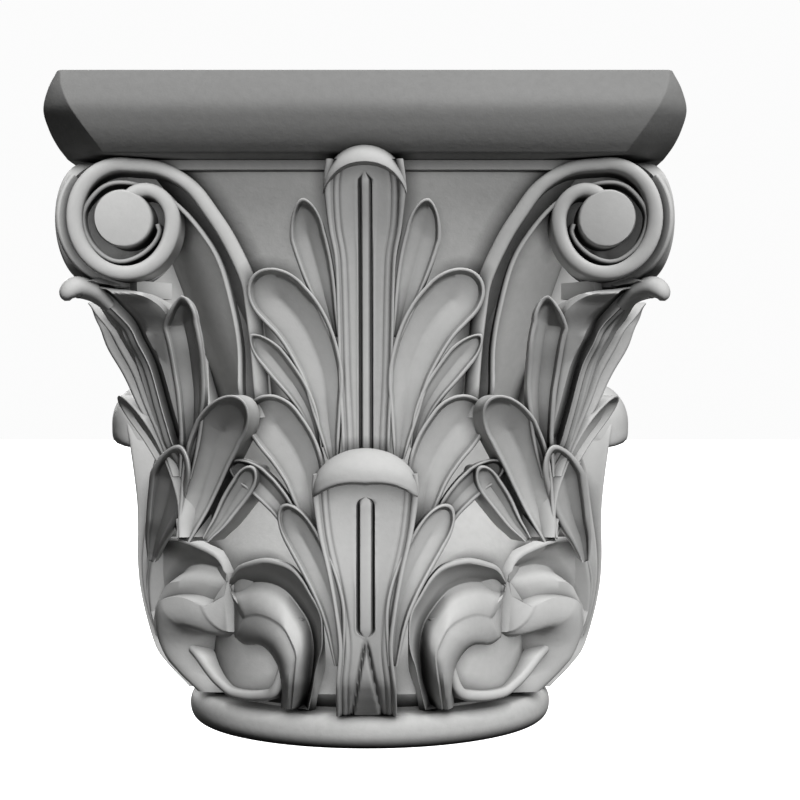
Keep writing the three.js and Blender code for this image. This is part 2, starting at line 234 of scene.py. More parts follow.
# Painted shade: the slab is the dressed stone made darker, to stand for shade on it.
slab_stone_painted_shade = stone_material("slab stone painted shade", (0.215, 0.215, 0.212), **DRESSED)
print("stone finishes:", carved_stone.name, dressed_stone.name, slab_stone_painted_shade.name)


# %% [markdown]
# ## Shells from rings
#
# Every part is a closed shell made from a stack of rings: neighbouring rings are joined by faces, and a
# ring that shrinks to a line or to a point closes the shell. Joining the places that coincide turns the
# faces there into triangles and leaves no seam. Working with whole arrays keeps this fast enough for over
# half a million faces.

# %% Paths
def smooth_path(points, steps):
    """A curve through the points, cut into even steps. Between two points it is the cubic whose slope at
    each is half the difference of its two neighbours (a Catmull-Rom curve)."""
    points = np.asarray(points, float)
    knots = np.vstack([2 * points[0] - points[1], points, 2 * points[-1] - points[-2]])
    place = np.linspace(0, len(points) - 1, 60 * len(points))
    stretch = np.minimum(place.astype(int), len(points) - 2)
    t = (place - stretch)[:, None]
    a, b, c, d = (knots[stretch + i] for i in range(4))
    dense = b + 0.5 * t * (c - a + t * (2 * a - 5 * b + 4 * c - d + t * (3 * b - a - 3 * c + d)))
    length = np.concatenate([[0], np.cumsum(np.linalg.norm(np.diff(dense, axis=0), axis=1))])
    even = np.linspace(0, length[-1], steps + 1)
    return np.stack([np.interp(even, length, dense[:, axis]) for axis in range(dense.shape[1])], -1)


def directions(line):
    """Unit vectors along a path at each of its points."""
    way = np.gradient(line, axis=0)
    return way / np.linalg.norm(way, axis=1, keepdims=True)


def outline(points):
    """A smooth curve through a few [height, value] points, read as a function of height."""
    dense = smooth_path(points, 200)
    return lambda height: np.interp(height, dense[:, 0], dense[:, 1])


def bump(distance, size, width):
    """A smooth bump, or a groove where it is taken away: a bell curve of the distance from its middle."""
    return size * np.exp(-(distance / width) ** 2)


# %% Shells
def shell(rings):
    """A closed shell from rings (rows, sides, 3) in millimetres: points and triangles facing outwards."""
    rows, sides, _ = rings.shape
    points = rings.reshape(-1, 3)
    row, side = np.meshgrid(np.arange(rows - 1), np.arange(sides), indexing="ij")
    here = (row * sides + side).ravel()
    beside = (row * sides + (side + 1) % sides).ravel()
    faces = np.concatenate([np.stack([here, beside, beside + sides], -1),
                            np.stack([here, beside + sides, here + sides], -1)])
    _, first, same = np.unique(np.round(points, 3), axis=0, return_index=True, return_inverse=True)
    points = points[first]
    faces = same.ravel()[faces]
    whole = (faces[:, 0] != faces[:, 1]) & (faces[:, 1] != faces[:, 2]) & (faces[:, 2] != faces[:, 0])
    faces = faces[whole]
    a, b, c = (points[faces[:, i]] for i in range(3))
    volume = np.einsum("ij,ij->i", a, np.cross(b, c)).sum()
    return points, faces if volume > 0 else faces[:, ::-1]


def capped(rings):
    """The rings with one more at each end, shrunk to its middle, so that the shell closes there."""
    ends = [np.repeat(rings[i].mean(0)[None], rings.shape[1], 0)[None] for i in (0, -1)]
    return np.concatenate([ends[0], rings, ends[1]])


def on_face(x, z, out):
    """Front-face drawing, x across, z up and a distance out from the axis, as points in space."""
    x, z, out = np.broadcast_arrays(x, z, out)
    return np.stack([x, -out, z], -1)


# %% Copies and pieces
ACROSS = np.diag([-1.0, 1, 1])
DIAGONAL = np.array([[0.0, 1, 0], [1, 0, 0], [0, 0, 1]])
FACES = ["front", "right", "back", "left"]
CORNERS = ["front_left", "front_right", "back_right", "back_left"]


def mirrored(shells, mirror):
    """The shells and their mirror images. A mirror turns faces inside out, so it also reverses them."""
    return shells + [(points @ mirror.T, faces[:, ::-1]) for points, faces in shells]


def quarter_turn(count):
    """The rotation matrix of a number of quarter turns about the axis of the column."""
    angle = count * np.pi / 2
    cos, sin = np.round([np.cos(angle), np.sin(angle)])
    return np.array([[cos, -sin, 0], [sin, cos, 0], [0, 0, 1]])


SHARP_EDGE = np.radians(35)
made = {}


def piece(name, shells, material, turns=0):
    """One object of stone, from shells in millimetres, turned about the axis and put in place in metres."""
    offset = np.cumsum([0] + [len(points) for points, _ in shells])
    points = np.concatenate([points for points, _ in shells]) @ quarter_turn(turns).T * MM
    faces = np.concatenate([faces + start for (_, faces), start in zip(shells, offset)])
    mesh = bpy.data.meshes.new(name)
    mesh.vertices.add(len(points))
    mesh.vertices.foreach_set("co", points.astype(np.float32).ravel())
    mesh.loops.add(faces.size)
    mesh.loops.foreach_set("vertex_index", faces.astype(np.int32).ravel())
    mesh.polygons.add(len(faces))
    mesh.polygons.foreach_set("loop_start", np.arange(0, faces.size, 3, dtype=np.int32))
    mesh.update(calc_edges=True)
    mesh.polygons.foreach_set("use_smooth", np.ones(len(faces), bool))
    mesh.set_sharp_from_angle(angle=SHARP_EDGE)
    mesh.materials.append(material)
    thing = bpy.data.objects.new(name, mesh)
    scene.collection.objects.link(thing)
    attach(thing, "root")
    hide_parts("capital")
    made[name] = len(faces)


# %% [markdown]
# ## The slab
#
# The abacus has a rounded moulding that is widest a little below its top, cut corners that widen downwards,
# and a plain band below. It is a stack of eight-sided rings. Each corner of a ring is eased with a short
# curve, because a mason never leaves a knife edge on stone, and that easing catches the light.

# %% Abacus
HEIGHT = 655
SLAB_MOULDING = [[577.5, 286], [589, 294], [603, 300], [620, 303], [638, 297], [654, 288]]
SLAB_CUT = [[577.5, 42], [589, 42], [603, 38], [620, 30], [638, 16], [654, 4]]
BAND = 248
BAND_CUT = 30
BAND_BOTTOM = 566.5
SOFFIT = 577
EDGE_EASE = 1.2


def directions_between(start, end):
    """Unit vectors from each start to each end."""
    way = end - start
    return way / np.linalg.norm(way, axis=1, keepdims=True)


def eight_sided(half, cut, z):
    """A square ring with cut corners: for each corner, three points that round it off by a small amount."""
    near = half - cut
    square = np.array([[-near, -half], [near, -half], [half, -near], [half, near],
                       [near, half], [-near, half], [-half, near], [-half, -near]])
    before = directions_between(np.roll(square, 1, 0), square)
    after = directions_between(square, np.roll(square, -1, 0))
    ease = min(EDGE_EASE, cut * 0.3)
    middle = square + ease * 0.3 * (after - before)
    rounded = np.stack([square - ease * before, middle, square + ease * after], 1)
    flat = rounded.reshape(-1, 2)
    return np.column_stack([flat, np.full(len(flat), z)])


# Rings below and above the moulding, as [half-width, cut, height]
BAND_RINGS = [[BAND - 1, BAND_CUT, BAND_BOTTOM], [BAND, BAND_CUT, BAND_BOTTOM + 1],
              [BAND, BAND_CUT, SOFFIT - 0.5], [BAND + 1, BAND_CUT, SOFFIT], [285.2, 42, SOFFIT]]
TOP_RINGS = [[287.3, 3.4, HEIGHT - 0.3], [286.5, 3, HEIGHT], [284, 3, HEIGHT], [140, 2, HEIGHT]]


def abacus():
    """The slab: band, soffit, moulding and flat top, as rings from the bottom up."""
    moulding = outline(SLAB_MOULDING)
    cut = outline(SLAB_CUT)
    middle_rings = [[moulding(z), cut(z), z] for z in np.linspace(SOFFIT + 0.6, HEIGHT - 1, 40)]
    rings = [eight_sided(*ring) for ring in BAND_RINGS + middle_rings + TOP_RINGS]
    return shell(capped(np.array(rings)))


piece("abacus", [abacus()], slab_stone_painted_shade)
print("abacus triangles:", made["abacus"])

# %% [markdown]
# ## Bell and ring
#
# The core of the capital is shaped like a vase: a ring at the foot, a neck, and a bell that flares to a lip
# under the slab. A plain lathe would only give circles, so each ring is a superellipse, whose exponent
# changes with height: 2 is a circle, 3 fills the ground behind the curls at the foot, and 6 is the rounded
# square of the lip. Behind the curls the bell also swells a little, to close the gaps round them.

# %% Bell and ring
BELL_OUT = outline([[33, 158], [120, 158], [250, 168], [350, 180], [450, 199], [520, 221], [566, 242]])
BELL_TOP = 567
BELL_SWELL = [[33, 0], [50, 14], [190, 14], [240, 0]]
BELL_SQUARENESS = [[33, 2], [50, 3], [195, 3], [250, 2.1], [330, 2.2], [450, 4], [BELL_TOP, 6]]
NECK = 166
UNDERSIDE = 178
RING_START = 186
RING_OUT = 198
RING_HEIGHT = 33
ROUND = np.linspace(0, 2 * np.pi, 193)[:-1]


def superellipse(out, squareness, z):
    """A ring whose distance from the axis along x and y is out; squareness 2 gives a circle."""
    cos, sin = np.cos(ROUND), np.sin(ROUND)
    size = out * (np.abs(cos) ** squareness + np.abs(sin) ** squareness) ** (-1 / squareness)
    return np.stack([size * cos, size * sin, np.full(len(ROUND), z)], -1)


def bell():
    """Ring and bell in one shell: a half-round ring, a small fillet, then the flare up to the lip."""
    middle = RING_HEIGHT / 2
    around = np.linspace(-np.pi / 2, np.pi / 2, 21)
    rings = [superellipse(UNDERSIDE, 2, 0)]
    for angle in around:
        swell = np.sign(np.sin(angle)) * np.abs(np.sin(angle)) ** 0.9
        out = RING_START + (RING_OUT - RING_START) * np.cos(angle)
        rings.append(superellipse(out, 2, middle + middle * swell))
    rings.append(superellipse(NECK, 2, RING_HEIGHT + 0.5))
    for z in np.linspace(RING_HEIGHT + 3, BELL_TOP - 1, 70):
        squareness = np.interp(z, *zip(*BELL_SQUARENESS))
        rings.append(superellipse(BELL_OUT(z) + np.interp(z, *zip(*BELL_SWELL)), squareness, z))
    for inset in (1, 30):
        rings.append(superellipse(BELL_OUT(BELL_TOP) - inset, BELL_SQUARENESS[-1][1], BELL_TOP))
    return shell(capped(np.array(rings)))


piece("bell_and_ring", [bell()], dressed_stone)
print("bell and ring triangles:", made["bell_and_ring"])

# %% [markdown]
# ## A leaf lobe
#
# An acanthus leaf is a fan of lobes along a stem. Each is a shallow spoon: a thin raised rim, a short steep
# wall inside it, and two flanks that meet in a crease. The carver works from the outline inwards, and so
# does this function: the outline is drawn round a spine, and every point of it is joined to the crease
# line, with the relief given by the distance from the rim. That keeps the rim parallel to the edge, also
# round the tip.

# %% Lobe
SPINE_STEPS = 26
TIP_STEPS = 21
BEAD_ARCH = np.linspace(0, np.pi, 8)
FLANK = np.linspace(1, 0, 9)[:, None]
WALL_STEPS = [2.0, 6, 12, 20]


def lobe(front, spine, tip, width, root=0.25, point=2.0, crease=0.0, hollow=0.38, lift=6.0, thick=24.0,
         lean=0.0, rim=1.9):
    """A spoon-shaped lobe. Its half-width grows from root x width to width along the spine as a sine, and
    the tip is a superellipse of the given exponent. Inside a rim bead the surface steps down and then falls
    almost straight to the crease, hollow x half-width deep. lift raises the lobe towards its tip, and lean
    moves its walls across, more the further back they are."""
    line = smooth_path(spine, SPINE_STEPS)
    along = directions(line)
    left = np.stack([-along[:, 1], along[:, 0]], -1)
    share = np.linspace(0, 1, SPINE_STEPS + 1)
    half = width * (root + (1 - root) * np.sin(np.pi / 2 * share))
    turn = np.linspace(np.pi / 2, -np.pi / 2, TIP_STEPS + 2)[1:-1]
    cos, sin = np.cos(turn), np.sin(turn)
    size = (cos ** point + np.abs(sin) ** point) ** (-1 / point)
    ahead = np.asarray(tip, float) - line[-1]
    arc = line[-1] + (cos * size)[:, None] * ahead + (sin * size * width)[:, None] * left[-1]
    edge = np.concatenate([line + left * half[:, None], arc, (line - left * half[:, None])[::-1]])
    centre = line + left * (crease * half)[:, None]
    middle = np.concatenate([centre, np.repeat(centre[-1:], len(arc), 0), centre[::-1]])
    depth = hollow * np.concatenate([half, np.full(len(arc), width), half[::-1]])
    far = np.linalg.norm(ahead) / (np.linalg.norm(np.diff(line, axis=0), axis=1).sum() + 1e-9)
    place = np.concatenate([share, 1 + far * cos * size, share[::-1]]) / (1 + far)
    inner_place = np.concatenate([share, np.ones(len(arc)), share[::-1]]) / (1 + far)

    wide = np.linalg.norm(edge - middle, axis=1)
    bead = np.minimum(rim, 0.2 * wide)
    foot = np.minimum(2 * bead + 0.9 + 0.05 * wide, 0.8 * wide)
    step = 0.42 * depth + 0.4 * bead
    flank_inset = foot + (wide - foot) * FLANK
    flank_rise = -step - 0.58 * depth * FLANK ** 0.9
    bead_inset = bead * (1 - np.cos(BEAD_ARCH[::-1]))[:, None]
    bead_rise = bead * np.sin(BEAD_ARCH[::-1])[:, None]
    back = np.minimum(np.array(WALL_STEPS + [thick])[:, None], thick) * np.ones(len(wide))
    inset = np.concatenate([flank_inset, bead_inset, 0 * back, 0.4 * wide[None], wide[None]])
    rise = np.concatenate([flank_rise, bead_rise, -back, np.full((2, len(wide)), -thick)])
    keep = 1 - inset / wide
    flat = middle + keep[..., None] * (edge - middle)
    x, z = flat[..., 0], flat[..., 1]
    here = inner_place + keep * (place - inner_place)
    height = front(x, z) + lift * here ** 2 + rise
    return shell(on_face(x + lean * np.maximum(0, -rise - depth), z, height))


# %% [markdown]
# ## Stem and curled tip
#
# The middle of each leaf is a long trough with a bead along each edge, a slot down its middle and a rib in
# the slot. At the top the leaf curls forward into a rounded hood. The stem is a row of cross-sections, and
# the hood is a row of rounded rectangles whose size follows a circle, so it is a dome above and flat below.

# %% Stem
STEM_ROWS = 90
GROOVE_STEPS = [0.7, 1.4, 2.2, 3.2, 4.2, 5.2, 6.1, 7, 7.9, 8.8]
FIELD_START = 10
SLOT_STEPS = [0.95, 0.88, 0.8, 0.7, 0.55, 0.35, 0.15]


def stem(front, widths, slot, slot_ends, edge_bead, trough=5.0, split=None, deep=60.0):
    """A leaf's stem. Across it, from each edge: a half-round bead, two fine grooves, a trough that is
    lowest in the middle, then a slot with a rounded rib. split gives a height and a spread: below that
    height two grooves run apart from the middle."""
    heights = np.linspace(widths[0][0], widths[-1][0], STEM_ROWS)[:, None]
    half = outline(widths)(heights)
    bead = np.interp(heights, *zip(*edge_bead))
    low, high = slot_ends
    ends = np.clip(np.minimum(high - heights, heights - low) / slot, 0, 1)
    opening = slot * np.sqrt(1 - (1 - ends) ** 2) + 0.05
    arch = bead * (1 - np.cos(BEAD_ARCH))
    groove = 2 * bead + np.array(GROOVE_STEPS)
    field_start = 2 * bead + FIELD_START
    field = field_start + (half - opening - field_start) * np.linspace(0, 1, 9)
    inside = half - opening * np.array(SLOT_STEPS)
    inset = np.concatenate([arch, groove, field, inside], 1)
    x = half - inset
    bead_rise = np.sqrt(np.maximum(0, bead ** 2 - (inset - bead) ** 2))
    groove_fall = bump(inset - 2 * bead - 1.4, 1.3, 1.1) + bump(inset - 2 * bead - 7, 1.1, 1.3)
    hollow = trough * (1 - (x / half) ** 2)
    rib = np.sqrt(np.clip(1 - (x / np.maximum(opening - 3, 0.5)) ** 2, 0, 1))
    slot_fall = np.where(x < opening, bump(opening - x - 1.7, 5, 1.1) - 1.3 * rib, 0)
    lip = bump(x - opening - 1.0, 0.7, 0.9) * ends
    rise = bead_rise - groove_fall - hollow - slot_fall * ends + lip
    if split:
        top, spread = split
        down = np.clip((top - heights) / (top - widths[0][0]), 0, 1)
        rise = rise - bump(x - spread * down, 4.5, 1.8) * np.minimum(1, 6 * down)
    x = np.concatenate([x, -x[:, ::-1]], 1)
    rise = np.concatenate([rise, rise[:, ::-1]], 1)
    out = front(0, heights) + rise
    walls = np.array([[-1, -3], [-1, -10], [-1, -deep], [-0.4, -deep]])
    wall_x = half * walls[:, 0]
    wall_out = front(0, heights) + walls[:, 1]
    x = np.concatenate([-wall_x[:, ::-1], x, wall_x], 1)
    out = np.concatenate([wall_out[:, ::-1], out, wall_out], 1)
    return shell(capped(on_face(x, heights, out)))


# %% Hood
HOOD_STEPS = 41
HOOD_SIDES = 48


def hood(half, middle_out, middle_height, reach, rise, lip, droop, dip=0.0, back=0.0, sag=0.0):
    """A curled tip: at each place across, a closed curve that is an ellipse above its middle and a rounded
    rectangle below it, down to the lip. The lip droops towards both ends, and may dip in the middle. sag
    lowers the whole tip towards its ends, and back says how far behind its middle it is cut off."""
    place = np.sin(np.linspace(-np.pi / 2, np.pi / 2, HOOD_STEPS))[:, None]
    size = np.sqrt(np.maximum(0, 1 - place ** 2))
    angle = np.linspace(0, 2 * np.pi, HOOD_SIDES + 1)[:-1]
    cos, sin = np.cos(angle), np.sin(angle)
    below = sin < 0
    boxy = (np.abs(cos) ** 5 + np.abs(sin) ** 5) ** (-1 / 5)
    end_fall = droop * (np.abs(place) ** 3) * size ** 0.4
    lip_fall = (middle_height - lip) * size ** 0.5 + end_fall + dip * (1 - np.abs(place)) ** 2
    out = middle_out + np.where(below, reach * size * cos * boxy, reach * size * cos)
    out = np.maximum(out, middle_out - back)
    z = middle_height - sag * (1 - size) + np.where(below, lip_fall * sin * boxy, rise * size * sin)
    return shell(on_face(place * half * np.ones_like(z), z, out))


# %% [markdown]
# ## Tall leaves
#
# One tall leaf stands on each face and curls over under the middle of the slab. It carries five lobes on
# each side; each lower lobe lies over the root of the one above. They are drawn once and mirrored.

# %% Tall leaves
TALL_PROFILE = outline([[190, 221], [280, 230], [350, 236], [400, 241], [450, 249], [500, 262], [540, 278],
                        [570, 292]])
TALL_FALL = 0.0022


def tall_front(x, z):
    """How far out the tall leaf's surface stands: its profile, less a fall that grows as x squared."""
    return TALL_PROFILE(z) - TALL_FALL * x ** 2


TALL_LOBES = [
    dict(spine=[[-30, 408], [-38, 440], [-48, 478], [-55, 503]], tip=[-60, 537],
         width=17.5, point=1.7, thick=26, lift=4),
    dict(spine=[[-32, 290], [-38, 337], [-42, 371], [-53, 402], [-66, 425], [-82, 443]], tip=[-109, 468],
         width=27, root=0.2, thick=30, lift=8),
    dict(spine=[[-46, 300], [-54, 331], [-66, 355], [-80, 374], [-92, 389]], tip=[-113, 411],
         width=13.5, point=1.6, thick=26, lift=7),
    dict(spine=[[-52, 215], [-56, 250], [-61, 276], [-72, 300], [-88, 322]], tip=[-109, 348],
         width=27, thick=32, lift=11),
    dict(spine=[[-62, 200], [-80, 237], [-95, 256], [-110, 270]], tip=[-135, 286],
         width=14, root=0.3, thick=26, lift=13),
]
TALL_STEM = [[195, 22], [302, 23], [369, 26], [414, 27], [477, 29], [511, 35], [549, 38.5], [571, 36]]
TALL_BEAD = [[195, 1.6], [470, 1.8], [520, 2.6], [560, 4.0]]
TALL_SLOT = (180, 559)
TALL_TIP = dict(half=39.5, middle_out=277, middle_height=568, reach=26, rise=19.5, lip=566.5, droop=10,
                back=26, sag=26)


def tall_leaf():
    """All the shells of one tall leaf, on the front face."""
    lobes = [lobe(tall_front, **shape) for shape in TALL_LOBES]
    middle = stem(tall_front, TALL_STEM, slot=7, slot_ends=TALL_SLOT, edge_bead=TALL_BEAD, trough=5.5)
    return mirrored(lobes, ACROSS) + [middle, hood(**TALL_TIP)]


for turns, side_name in enumerate(FACES):
    piece("tall_leaf_" + side_name, tall_leaf(), carved_stone, turns)
print("tall leaf triangles:", made["tall_leaf_front"])

# %% [markdown]
# ## Low leaves
#
# The low leaf of the front and the back is a short one; those of the two sides stand taller, which shows
# where their hoods break the outline. Each has one long lobe beside its stem, and at its foot a curl: a
# shell-like surface that steps down from its rim and rolls up again to a lip, round a hollow at the corner.
# The tall ones also carry a lobe that leans over to the corner, and the short ones a band that closes the
# hollow from below.

# %% Low leaf surfaces
LOW_POINTS = [[20, 186], [34, 196], [58, 219], [80, 234], [125, 247], [169, 252], [236, 250]]
FRONT_PROFILE = outline(LOW_POINTS + [[270, 256], [300, 262]])
SIDE_PROFILE = outline(LOW_POINTS + [[292, 255], [330, 262]])
LOW_FALL = 0.0054


def low_front(profile):
    """How far out a low leaf's surface stands; it falls away faster than the tall one's."""
    return lambda x, z: profile(z) - LOW_FALL * x ** 2


# %% Curls
CURL_RIM = [[-142, 160], [-134, 176], [-120, 184], [-99, 190], [-76, 187], [-63, 177], [-52, 160], [-43, 144],
            [-41, 127], [-42, 107], [-48, 87], [-52, 66], [-58, 38]]
CURL_CREASE = [[-141, 152], [-127, 158], [-110, 163], [-94, 163], [-79, 157], [-65, 142], [-56, 127],
               [-52, 107], [-53, 87], [-56, 66], [-64, 38]]
CURL_STEP = [[-126, 126], [-118, 130], [-108, 133], [-94, 131], [-81, 124], [-73, 110], [-69, 98], [-70, 85],
             [-73, 63], [-76, 38]]
CURL_LIP = [[-137, 104], [-126, 98], [-109, 101], [-99, 97], [-91, 87], [-87, 75], [-86, 60], [-88, 38]]
CURL_SECTION = [
    [0, -4], [0, -1], [0.03, 0.8], [0.08, 1.6], [0.13, 1.6], [0.18, 0.6], [0.22, -1.6], [0.5, -10],
    [0.75, -17.5], [0.95, -23.5], [1, -24], [1.05, -23], [1.15, -18.5], [1.3, -10], [1.5, 0], [1.75, 8.5],
    [1.9, 11.8], [1.95, 12], [2, 11.4], [2.05, 12.2], [2.15, 14], [2.3, 16.2], [2.5, 17], [2.7, 15],
    [2.84, 11], [2.94, 5], [3, -6],
]
CURL_STEPS = 70


def curl(front, raised):
    """A shell-like curl, drawn by four lines on the leaf: rim, crease, step and lip. Between two
    neighbouring lines a point is a straight mix of them, and the section says how high it stands. raised
    lifts the lines, more towards their top, and deepens the hollow where the curl starts, because a raised
    curl shows from its side."""
    lines = np.array([smooth_path(line, CURL_STEPS) for line in (CURL_RIM, CURL_CREASE, CURL_STEP, CURL_LIP)])
    lines[..., 1] += raised * np.clip((lines[..., 1] - 50) / 130, 0, 1.1)
    place, level = np.array(CURL_SECTION).T
    line = np.minimum(place.astype(int), len(lines) - 2)
    share = (place - line)[:, None, None]
    flat = (lines[line] * (1 - share) + lines[line + 1] * share).transpose(1, 0, 2)
    along = np.linspace(0, 1, CURL_STEPS + 1)[:, None]
    opened = np.sqrt(1 - np.maximum(0, 1 - along / 0.1) ** 2)
    x, z = flat[..., 0], flat[..., 1]
    if raised:
        inside = np.clip((place - 0.18) / 0.1, 0, 1) * np.clip((1.98 - place) / 0.08, 0, 1)
        hollow = np.minimum(level, np.interp(along, [0, 0.5], [-15, 12]))
        level = level + inside * (hollow - level)
        grown = np.where(level > 0, np.interp(along, [0, 0.3], [0.5, 1]), np.clip(along / 0.03, 0, 1))
        rise = level * grown + 2.5 * (1 - np.clip(along / 0.03, 0, 1)) - 2 * np.maximum(0, 1 - along / 0.012)
    else:
        grown = np.where(level > 0, np.interp(along, [0, 0.35], [0.35, 1]), opened)
        rise = level * grown + 1.6 * (1 - opened) - 5 * np.maximum(0, 1 - along / 0.035) ** 2
    out = front(x, z) + rise
    rim_x, rim_z, lip_x, lip_z = x[:, :1], z[:, :1], x[:, -1:], z[:, -1:]
    x = np.concatenate([x, lip_x, rim_x, rim_x], 1)
    z = np.concatenate([z, lip_z, rim_z - 30, rim_z], 1)
    rim_front = front(rim_x, rim_z)
    out = np.concatenate([out, front(lip_x, lip_z) - 36, rim_front - 50, rim_front - 12], 1)
    return shell(capped(on_face(x, z, out)))


# %% Lip band
LIP_BAND = [[-66, -208, 134], [-73, -202, 112], [-80, -192, 90], [-92, -184, 57], [-112, -164, 48],
            [-137, -140, 47], [-150, -128, 53], [-162, -117, 62], [-178, -96, 77], [-192, -80, 90],
            [-202, -73, 112], [-208, -66, 134]]
BAND_STEPS = 70
BAND_SECTION = dict(half=5.4, crown=4.6, wall=16)


def lip_band():
    """The band that closes the hollow of a corner from below, from one leaf's curl to the next."""
    path = smooth_path(LIP_BAND, BAND_STEPS)
    outward = path * [1, 1, 0]
    outward = outward / np.linalg.norm(outward, axis=1, keepdims=True)
    return bar(path, outward, **BAND_SECTION)


def bar(path, outward, half, crown, wall):
    """A rounded bar along a path in space: an arch that looks outward, and walls that go back from it."""
    along = directions(path)
    side = np.cross(outward, along)
    side = side / np.linalg.norm(side, axis=1, keepdims=True)
    arch = np.linspace(0, np.pi, 15)
    across = np.concatenate([half * np.cos(arch), [-half, half]])
    up = np.concatenate([crown * np.sin(arch), [-wall, -wall]])
    return shell(capped(path[:, None] + side[:, None] * across[:, None] + outward[:, None] * up[:, None]))


# %% Low leaves
FRONT_LOBE = dict(spine=[[-26, 90], [-30, 136], [-37, 163], [-49, 190], [-62, 213]], tip=[-82, 245],
                  width=17.5, thick=34, lift=6)
SIDE_LOBE = dict(spine=[[-28, 90], [-44, 160], [-62, 208], [-83, 256]], tip=[-101, 300],
                 width=20, point=1.7, thick=40, lift=6)
CORNER_LOBE = dict(spine=[[-228, 178], [-221, 203], [-213, 222], [-203, 250], [-198, 268]], tip=[-183, 303],
                   width=22, root=0.2, point=1.7, rim=3.2, hollow=0.55, thick=30, lift=0)
CORNER_LOBE_OUT = outline([[180, 98], [200, 118], [220, 138], [240, 156], [260, 174], [280, 192], [304, 210]])
CORNER_LOBE_TOP = (-183, 302)
CORNER_LOBE_SLANT = 0.4
CORNER_LOBE_TURN = 0.9


def corner_lobe_front(x, z):
    """The upper lobe of a side leaf leans over to the corner. Its surface turns away from the front, by
    CORNER_LOBE_TURN x the distance across from a slanting line through its top."""
    top_x, top_z = CORNER_LOBE_TOP
    return CORNER_LOBE_OUT(z) + CORNER_LOBE_TURN * (x - top_x + CORNER_LOBE_SLANT * (top_z - z))


def low_leaf(profile, upper_lobe, stem_widths, slot_ends, tip_shape, raised):
    """All the shells of one low leaf, on the front face: a tall one with a lobe at each corner, and a short
    one with a lip band there."""
    front = low_front(profile)
    lobes = [lobe(front, **upper_lobe), curl(front, raised)]
    if raised:
        lobes += mirrored([lobe(corner_lobe_front, **CORNER_LOBE)], DIAGONAL)[1:]
    else:
        lobes.append(lip_band())
    middle = stem(front, stem_widths, slot=9, slot_ends=slot_ends, edge_bead=LOW_BEAD, trough=6,
                  split=LOW_SPLIT, deep=80)
    return mirrored(lobes, ACROSS) + [middle, hood(**tip_shape)]


# %% Four low leaves
LOW_BEAD = [[26, 2.0], [200, 2.2], [250, 3.4], [300, 4.5]]
LOW_SPLIT = (118, 15)
FRONT_SLOT = (118, 254)
SIDE_SLOT = (118, 300)
SIDE_RAISED = 12
FRONT_STEM = [[34, 30], [70, 29], [108, 26], [146, 30], [184, 37], [222, 46], [258, 51], [276, 50]]
SIDE_STEM = [[34, 30], [70, 29], [108, 26], [160, 30], [215, 40], [262, 49], [305, 50], [330, 44]]
FRONT_TIP = dict(half=51, middle_out=250, middle_height=276, reach=29, rise=25, lip=269, droop=12, dip=3,
                 back=30, sag=16)
SIDE_TIP = dict(half=51, middle_out=244, middle_height=322, reach=42, rise=45, lip=296, droop=16, back=34)
for turns, side_name in enumerate(FACES):
    if turns % 2 == 0:
        leaf = low_leaf(FRONT_PROFILE, FRONT_LOBE, FRONT_STEM, FRONT_SLOT, FRONT_TIP, 0)
    else:
        leaf = low_leaf(SIDE_PROFILE, SIDE_LOBE, SIDE_STEM, SIDE_SLOT, SIDE_TIP, SIDE_RAISED)
    piece("low_leaf_" + side_name, leaf, carved_stone, turns)
print("low leaf triangles:", made["low_leaf_front"])

# %% [markdown]
# ## Corner leaves
#
# Under each pair of scrolls a leaf rises along the corner and curls out beneath them. Its midrib lies on
# the diagonal, and its two wings are mirror images across it, so only the wing on the front face is drawn.

# %% Corner leaves
CORNER_PATH = [[262, 178], [285, 190], [302, 198], [320, 203], [340, 208], [377, 217], [400, 227],
               [414, 233], [426, 243], [435, 252], [442, 262], [446, 272], [449, 280]]
CORNER_RIDGE = outline([[190, 186], [220, 186], [250, 187], [299, 197], [340, 208], [377, 217],
                        [414, 233], [436, 252], [448, 268]])
WING_LEAN = outline([[200, 0.2], [300, 0.36], [349, 0.45], [377, 0.5], [401, 0.5], [424, 0.36], [445, 0.15],
                     [460, 0.1]])


def corner_front(x, z):
    """A wing of the corner leaf stands further out the further it is from the midrib."""
    ridge = CORNER_RIDGE(z)
    return ridge + WING_LEAN(z) * (ridge - np.abs(x))


CORNER_LOBES = [
    dict(spine=[[-180, 270], [-173, 310], [-170, 349], [-171, 374], [-173, 401], [-176, 418]],
         tip=[-172, 445], width=18, root=0.35, point=1.5, crease=-0.1, hollow=0.7, thick=14, lift=2, rim=2.4),
    dict(spine=[[-183, 208], [-178, 222], [-171, 243], [-164, 266], [-155, 292], [-143, 316]],
         tip=[-120, 350], width=25, root=0.3, crease=-0.1, thick=30, lift=8),
    dict(spine=[[-160, 208], [-154, 216], [-146, 226], [-134, 245], [-122, 262]], tip=[-110, 282],
         width=12, root=0.3, thick=34, lift=0),
]
CORNER_LEAN = 0.36

# %% Blade of a corner leaf
WING_WIDTH = outline([[262, 9], [290, 9], [312, 24], [350, 27], [377, 31], [392, 38], [403, 47], [414, 51],
                      [426, 39], [435, 23], [442, 14], [446, 10], [449, 9]])
RIB = 7.5
RIB_GROOVE = 11.5
BLADE_ROWS = 90
BLADE_DEEP = 30


